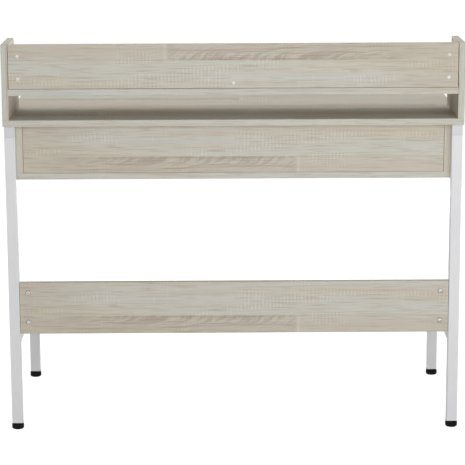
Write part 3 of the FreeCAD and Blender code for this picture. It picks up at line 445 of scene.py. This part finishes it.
FINISHES = {
    "oak_board": OakPrint().material(),
    "white_steel": powder_coat(),
    "white_plastic": moulded_plastic("white_moulded_plastic", colour(213, 214, 216), colour(222, 223, 225),
                                     rough=0.42, shine=0.5),
    "black_plastic": moulded_plastic("black_moulded_plastic", colour(3, 3, 3), colour(10, 10, 11),
                                     rough=0.6, shine=0.12),
    "white_screw": screw_lacquer(),
    "zinc_steel": plated_zinc("bright_zinc_plate", colour(150, 150, 149), colour(182, 182, 181),
                              rough=0.32),
    "zinc_cast": plated_zinc("cast_zinc", colour(146, 149, 152), colour(178, 180, 182), rough=0.42),
    "beech": beech(),
    "floor_board": faced_hardboard(),
}

for name, shown in nodes.items():
    shown.data.materials.clear()
    shown.data.materials.append(FINISHES[RECORD_SLOTS[name]])


# Pieces that stand for CAD nodes

SAME_POINT = 0.002 * MM
FLAT_ANGLE = math.radians(0.5)
CORNER_ANGLE = math.radians(30)
TOUCH = 0.1 * MM


def put_in_scene(name, data):
    thing = bpy.data.objects.new(name, data)
    bpy.context.scene.collection.objects.link(thing)
    return thing


def mesh_of(shape, name):
    """End a shape that was built, as a mesh."""
    mesh = bpy.data.meshes.new(name)
    shape.to_mesh(mesh)
    shape.free()
    return mesh


def stands_for(name, mesh, node):
    """Put a mesh in the scene in place of a CAD node, on its body and with its finish."""
    piece = put_in_scene(name, mesh)
    mesh.materials.clear()
    mesh.materials.append(FINISHES[RECORD_SLOTS[node]])
    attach(piece, nodes[node]["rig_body"])
    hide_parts(node)


def is_corner(edge):
    return len(edge.link_faces) == 2 and edge.is_convex and edge.calc_face_angle() > CORNER_ANGLE


def eased_mesh(node, ease, wanted, steps=2, draw_in=None):
    """A copy of a node's shape, drawn in from its neighbours, with the wanted edges rounded over."""
    shape = bmesh.new()
    shape.from_mesh(nodes[node].data)
    bmesh.ops.remove_doubles(shape, verts=shape.verts, dist=SAME_POINT)
    bmesh.ops.dissolve_limit(shape, angle_limit=FLAT_ANGLE, verts=shape.verts, edges=shape.edges)
    if draw_in:
        draw_in(shape, *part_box(node))
    edges = [edge for edge in shape.edges if is_corner(edge) and wanted(edge)]
    rounded = bmesh.ops.bevel(shape, geom=edges, offset=ease, offset_type="OFFSET", segments=steps,
                              profile=0.5, affect="EDGES", clamp_overlap=True)
    for face in shape.faces:
        face.smooth = False
    for face in rounded["faces"]:
        face.smooth = True
    return mesh_of(shape, f"{node}_eased")


def skin(shape, rings):
    """Join rings of corners into a closed tube with smooth walls."""
    for lower, upper in zip(rings, rings[1:]):
        for step in range(len(lower)):
            following = (step + 1) % len(lower)
            face = shape.faces.new((lower[step], lower[following], upper[following], upper[step]))
            face.smooth = True
    shape.faces.new(reversed(rings[0]))
    shape.faces.new(rings[-1])


# Boards: eased edges, and a grain map that follows each face and each edge band

BOARD_EASE = 0.55 * MM
SHORTEST_BOARD_EDGE = 9 * MM
END_GAP = 0.35 * MM
FOOT_GAP = 0.8 * MM

# Each board's axis along the grain and axis of its thickness
X, Y, Z = range(3)
BOARDS = {
    "desktop": (X, Z),
    "hutch_side_right": (Z, X),
    "hutch_side_left": (Z, X),
    "hutch_shelf": (X, Z),
    "hutch_back": (X, Y),
    "box_side_right": (Y, X),
    "box_side_left": (Y, X),
    "box_divider": (Y, X),
    "box_bottom": (X, Z),
    "box_back": (X, Y),
    "lower_panel": (X, Y),
}
for side in SIDES:
    BOARDS[f"drawer_front_{side}"] = (X, Y)
    BOARDS[f"drawer_outer_side_{side}"] = (Y, X)
    BOARDS[f"drawer_inner_side_{side}"] = (Y, X)
    BOARDS[f"drawer_back_{side}"] = (X, Y)

# Where a board lies on the printed roll, and which way round. The box back and the lower panel take
# nearly the same stretch, and the hutch back takes it turned end for end.
UPRIGHT = 1
TURNED = -1
FIRST_SHEET = Vector((0.5, 0))
NEXT_SHEET = Vector((1.37, 0.43))
OTHER_FACE = Vector((0.41, 0.29))
EDGE_BAND = Vector((0, EDGE_ROLL))
HUTCH_JOINT = 155 * MM
PANEL_JOINT = 150 * MM
STAVE_CUT = 5 * MM
PRINT_STARTS = {
    "hutch_side_left": (UPRIGHT, Vector((3.24, 0.98))),
    "hutch_back": (TURNED, Vector((HUTCH_JOINT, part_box("hutch_back")[1].z + STAVE_CUT))),
    "box_back": (UPRIGHT, Vector((PANEL_JOINT, STAVE_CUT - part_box("box_back")[0].z))),
    "lower_panel": (UPRIGHT, Vector((PANEL_JOINT, -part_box("lower_panel")[0].z))),
}


def long_edge(edge):
    return edge.calc_length() > SHORTEST_BOARD_EDGE


def draw_in_ends(shape, low, high):
    """Keep a board's ends back from its neighbours, so that the joints show as dark lines."""
    for vertex in shape.verts:
        if abs(vertex.co.x - low.x) < END_GAP:
            vertex.co.x += END_GAP
        elif abs(vertex.co.x - high.x) < END_GAP:
            vertex.co.x -= END_GAP


def draw_in_foot(shape, low, high):
    """Keep a board's lower edge clear of the board that it stands on."""
    for vertex in shape.verts:
        if abs(vertex.co.z - low.z) < FOOT_GAP:
            vertex.co.z += FOOT_GAP


DRAWN_IN = {"hutch_back": draw_in_foot, "box_back": draw_in_ends}


def map_grain(mesh, grain, thickness, way, start):
    """Lay the print along the grain on the two faces, and along each edge on its band."""
    width = X + Y + Z - grain - thickness
    layer = mesh.uv_layers.new(name=GRAIN_MAP)
    for face in mesh.polygons:
        facing = max((X, Y, Z), key=lambda axis: abs(face.normal[axis]))
        if facing == thickness:
            run, rise, shift = grain, width, start + OTHER_FACE * (face.normal[thickness] < 0)
        elif facing == width:
            run, rise, shift = grain, thickness, start + EDGE_BAND
        else:
            run, rise, shift = width, thickness, start + EDGE_BAND + OTHER_FACE
        for loop in face.loop_indices:
            spot = mesh.vertices[mesh.loops[loop].vertex_index].co
            layer.data[loop].uv = Vector((spot[run], spot[rise])) * way + shift


for sheet, (board, (grain, thickness)) in enumerate(BOARDS.items()):
    mesh = eased_mesh(board, BOARD_EASE, long_edge, draw_in=DRAWN_IN.get(board))
    way, start = PRINT_STARTS.get(board, (UPRIGHT, NEXT_SHEET * sheet + FIRST_SHEET))
    map_grain(mesh, grain, thickness, way, start)
    stands_for(f"{board}_board", mesh, board)


# Handles and rail caps: the same solids with their edges softened

HANDLE_EASE = 1.4 * MM
CAP_EASE = 1.3 * MM
FITTING_STEPS = 3
HANDLE_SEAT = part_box("drawer_front_right")[0].y
CAP_LOW, CAP_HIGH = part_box("rail_caps")


def in_front_of_drawer(edge):
    """All rims of a handle but those on its seat against the drawer front."""
    return all(vertex.co.y < HANDLE_SEAT - TOUCH for vertex in edge.verts)


def on_cap_face(edge):
    return all(min(vertex.co.y - CAP_LOW.y, CAP_HIGH.y - vertex.co.y) < TOUCH for vertex in edge.verts)


for side in SIDES:
    handle = f"drawer_handle_{side}"
    stands_for(f"{handle}_bow", eased_mesh(handle, HANDLE_EASE, in_front_of_drawer, FITTING_STEPS), handle)
stands_for("rail_end_caps", eased_mesh("rail_caps", CAP_EASE, on_cap_face, FITTING_STEPS), "rail_caps")


# Feet: a notched pad that a hand can turn, on a threaded stud

SOLE_RADIUS = 12.5 * MM
SOLE_EASE = 0.6 * MM
SOLE_LIP = 0.25 * MM
EDGE_RISE = 2 * MM
EDGE_DROP = 0.7 * MM
EDGE_DRAW = 1.0 * MM
RIM_DRAW = 0.35 * MM
GRIP_START = 0.8 * MM
GRIP_END = 0.5 * MM
PAD_TOP = 13 * MM
SHOULDER = 1.5 * MM
SHOULDER_DRAW = 0.2 * MM
TOP_EASE = 0.4 * MM
TOP_DRAW = 0.5 * MM
NOTCHES = 16
NOTCH_DEPTH = 0.7 * MM
NOTCH_SHARPNESS = 4
STUD_RADIUS = 4 * MM
STUD_TIP_SHARE = 0.8
THREAD_DEPTH = 0.65 * MM
THREAD_PITCH = 1.25 * MM
THREAD_STEP_SHARE = 1 / 6
AROUND = 96
FOOT_SHARP_ANGLE = math.radians(40)


def pad_profile(radius):
    """Heights of the pad's rings, with each ring's radius and how deep its notches are."""
    return [
        (0, SOLE_RADIUS - SOLE_EASE, 0),
        (SOLE_LIP, SOLE_RADIUS, 0),
        (EDGE_RISE - EDGE_DROP, radius - EDGE_DRAW, 0),
        (EDGE_RISE, radius - RIM_DRAW, 0.5),
        (EDGE_RISE + GRIP_START, radius, 1),
        (PAD_TOP - SHOULDER - GRIP_END, radius, 1),
        (PAD_TOP - SHOULDER, radius - SHOULDER_DRAW, 0.9),
        (PAD_TOP - TOP_EASE, radius - SHOULDER, 0),
        (PAD_TOP, radius - SHOULDER - TOP_DRAW, 0),
    ]


def ring_at(height, reach):
    """A ring of points, at the distance from the axis that reach gives for each share of a turn."""
    ring = []
    for step in range(AROUND):
        share = step / AROUND
        angle = 2 * math.pi * share
        out = reach(share)
        ring.append(Vector((out * math.cos(angle), out * math.sin(angle), height)))
    return ring


def pad_ring(height, radius, notched):
    def reach(share):
        notch = (0.5 + 0.5 * math.cos(NOTCHES * 2 * math.pi * share)) ** NOTCH_SHARPNESS
        return radius - NOTCH_DEPTH * notched * notch
    return ring_at(height, reach)


def thread_ring(height):
    def reach(share):
        tooth = abs(2 * ((height / THREAD_PITCH - share) % 1) - 1)
        return STUD_RADIUS - THREAD_DEPTH * tooth
    return ring_at(height, reach)


def foot_mesh(node):
    low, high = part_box(node)
    axis = Vector(((low.x + high.x) / 2, (low.y + high.y) / 2, 0))
    rings = [pad_ring(*row) for row in pad_profile((high.x - low.x) / 2)]
    height = PAD_TOP
    while height < high.z:
        rings.append(thread_ring(height))
        height += THREAD_PITCH * THREAD_STEP_SHARE
    rings.append([Vector((*point.xy * STUD_TIP_SHARE, high.z)) for point in rings[-1]])
    shape = bmesh.new()
    skin(shape, [[shape.verts.new(axis + point) for point in ring] for ring in rings])
    mesh = mesh_of(shape, f"{node}_turned")
    mesh.set_sharp_from_angle(angle=FOOT_SHARP_ANGLE)
    return mesh


for end in ("rear", "front"):
    for side in SIDES:
        foot = f"foot_{end}_{side}"
        stands_for(f"{foot}_pad", foot_mesh(foot), foot)


# Welds: rippled beads in the inner corners of the side frames

BEAD_RADIUS = 1.7 * MM
BEAD_END_SHARE = 0.35
BEAD_INSET = 4 * MM
BEAD_SIDES = 10
RIPPLE_LENGTH = 1.6 * MM
RIPPLE_SHARE = 0.16
STEPS_PER_RIPPLE = 4
TACK_STARTS = (0.1, 0.4, 0.7)
TACK_SHARE = 0.2


def add_bead(shape, start, end):
    """A bead from start to end: overlapping drops of weld metal under the paint."""
    run = end - start
    along = run.normalized()
    side = along.orthogonal().normalized()
    up = along.cross(side)
    count = max(2, round(run.length / RIPPLE_LENGTH)) * STEPS_PER_RIPPLE
    rings = []
    for step in range(count + 1):
        share = step / count
        ripple = abs(math.sin(math.pi * share * run.length / RIPPLE_LENGTH))
        taper = min(1, BEAD_END_SHARE + min(share, 1 - share) * run.length / (2 * BEAD_RADIUS))
        reach = BEAD_RADIUS * taper * (1 - RIPPLE_SHARE + RIPPLE_SHARE * ripple)
        centre = start + run * share
        angles = [2 * math.pi * corner / BEAD_SIDES for corner in range(BEAD_SIDES)]
        points = [centre + (side * math.cos(angle) + up * math.sin(angle)) * reach for angle in angles]
        rings.append([shape.verts.new(point) for point in points])
    skin(shape, rings)


def add_tube_beads(shape, side):
    """Beads across the tube where the rails meet the legs."""
    leg_low, leg_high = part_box(f"rear_leg_{side}")
    rail_low, rail_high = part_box(f"side_rail_{side}")
    front_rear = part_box(f"front_leg_{side}")[1].y
    corners = [
        (leg_low.y, leg_high.z),
        (leg_low.y, rail_high.z),
        (leg_low.y, rail_low.z),
        (front_rear, rail_low.z),
    ]
    for y, z in corners:
        add_bead(shape, Vector((leg_low.x + BEAD_INSET, y, z)), Vector((leg_high.x - BEAD_INSET, y, z)))


def add_tab_beads(shape, side):
    """Short beads up the edge of the plate that takes the lower panel."""
    leg_low, leg_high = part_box(f"rear_leg_{side}")
    tab_low, tab_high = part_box(f"panel_tab_{side}")
    inner = leg_low.x if side == "right" else leg_high.x
    tab_height = tab_high.z - tab_low.z
    for share in TACK_STARTS:
        foot = Vector((inner, tab_low.y, tab_low.z + tab_height * share))
        add_bead(shape, foot, foot + Vector((0, 0, tab_height * TACK_SHARE)))


for side in SIDES:
    shape = bmesh.new()
    add_tube_beads(shape, side)
    add_tab_beads(shape, side)
    bmesh.ops.recalc_face_normals(shape, faces=shape.faces)
    mesh = mesh_of(shape, f"weld_beads_{side}")
    mesh.materials.append(FINISHES["white_steel"])
    beads = put_in_scene(f"weld_beads_{side}", mesh)
    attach(beads, "desk")


# Studio: a white floor that keeps a faint shadow, soft light, and the photograph's viewpoint

WHITE = (1, 1, 1, 1)
FLOOR_HALF = 60.0
FLOOR_GLOW = 0.9
FLOOR_SHOWN = (0.34, 0.34, 0.34, 1)
FLOOR_PLAIN = (0.5, 0.5, 0.5, 1)
SKY_HORIZON = 0.05
SKY_ZENITH = 0.41
SKY_SEEN = 1.0
SKY_FULL_HEIGHT = 0.8

DESK_REAR = (0, 0.2, 0.5)
DESK_MIDDLE = (0, 0, 0.5)
HUTCH_FRONT = (0, 0, 0.7)
DESK_END = (0, 0, 0.75)

CAMERA_PITCH = math.radians(11.793)
CAMERA_YAW = math.radians(0.223)
CAMERA_ROLL = math.radians(0.242)
CAMERA_ASIDE = 0.020744
CAMERA_BEHIND = 4.470665
CAMERA_HEIGHT = 1.415261
CAMERA_LENS = 150.21
CAMERA_SENSOR = 36
CAMERA_FAR = 200


def studio_floor():
    """White to the camera, in mirrors and through glass; an ordinary pale floor to other light."""
    white = Finish("studio_floor")
    glow = white.node("Emission", {}, {"Color": WHITE, "Strength": FLOOR_GLOW})
    pale = white.node("BsdfDiffuse", {}, {"Color": FLOOR_SHOWN})
    plain = white.node("BsdfDiffuse", {}, {"Color": FLOOR_PLAIN})
    shown = white.node("AddShader", {}, {0: glow, 1: pale})
    return white.show(white.node("MixShader", {}, {0: white.seen(), 1: plain, 2: shown}))


def make_floor():
    mesh = bpy.data.meshes.new("studio_floor")
    corners = [(-1, -1), (1, -1), (1, 1), (-1, 1)]
    mesh.from_pydata([(x * FLOOR_HALF, y * FLOOR_HALF, 0) for x, y in corners], [], [(0, 1, 2, 3)])
    mesh.materials.append(studio_floor())
    put_in_scene("studio_floor", mesh)


def make_sky():
    """A studio's soft light from all round, stronger from above; white where the camera sees it."""
    sky = Finish("studio_sky", bpy.data.worlds)
    up = sky.part(sky.node("TexCoord", {}, {}, output="Generated"), "Z")
    low, high, white = [sky.node("Background", {}, {"Color": WHITE, "Strength": strength})
                        for strength in (SKY_HORIZON, SKY_ZENITH, SKY_SEEN)]
    soft = sky.node("MixShader", {}, {0: up.between(0.0, SKY_FULL_HEIGHT), 1: low, 2: high})
    shown = sky.node("MixShader", {}, {0: sky.seen(), 1: soft, 2: white})
    bpy.context.scene.world = sky.show(shown, "OutputWorld")


def make_lamp(name, place, aim, size, power):
    lamp = bpy.data.lights.new(name, "AREA")
    lamp.shape = "SQUARE"
    lamp.size = size
    lamp.energy = power
    stand = put_in_scene(name, lamp)
    stand.location = place
    stand.rotation_mode = "QUATERNION"
    stand.rotation_quaternion = (Vector(aim) - Vector(place)).to_track_quat("-Z", "Y")
    stand.visible_camera = False


def make_lamps():
    make_lamp("key_lamp", (-1.0, 2.7, 1.0), DESK_REAR, size=1.7, power=32)
    make_lamp("fill_lamp", (0.9, 2.8, 1.05), DESK_REAR, size=1.6, power=15)
    make_lamp("front_lamp", (0.3, -2.1, 3.1), HUTCH_FRONT, size=2.2, power=44)
    make_lamp("left_end_lamp", (-3.2, 0.1, 1.3), DESK_END, size=1.0, power=12)
    make_lamp("right_end_lamp", (3.2, 0.1, 1.3), DESK_END, size=1.0, power=12)
    make_lamp("user_side_lamp", (-0.5, -3.0, 0.36), DESK_MIDDLE, size=0.7, power=34)


def make_camera():
    """The photograph's viewpoint: behind the desk, a little above it, with a long lens."""
    lens = bpy.data.cameras.new("photo_camera")
    lens.sensor_width = CAMERA_SENSOR
    lens.lens = CAMERA_LENS
    lens.clip_end = CAMERA_FAR
    level = math.cos(CAMERA_PITCH)
    ahead = Vector((-math.sin(CAMERA_YAW) * level, -math.cos(CAMERA_YAW) * level, -math.sin(CAMERA_PITCH)))
    right = ahead.cross(Vector((0, 0, 1))).normalized()
    up = right.cross(ahead)
    turned_right = right * math.cos(CAMERA_ROLL) - up * math.sin(CAMERA_ROLL)
    turned_up = up * math.cos(CAMERA_ROLL) + right * math.sin(CAMERA_ROLL)
    turn = Matrix((turned_right, turned_up, -ahead)).transposed()
    desk_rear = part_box("desktop")[1].y
    place = Vector((CAMERA_ASIDE, desk_rear + CAMERA_BEHIND, CAMERA_HEIGHT))
    camera = put_in_scene("photo_camera", lens)
    camera.matrix_world = Matrix.Translation(place) @ turn.to_4x4()
    bpy.context.scene.camera = camera


make_floor()
make_sky()
make_lamps()
make_camera()
bpy.context.scene.view_settings.view_transform = "Standard"
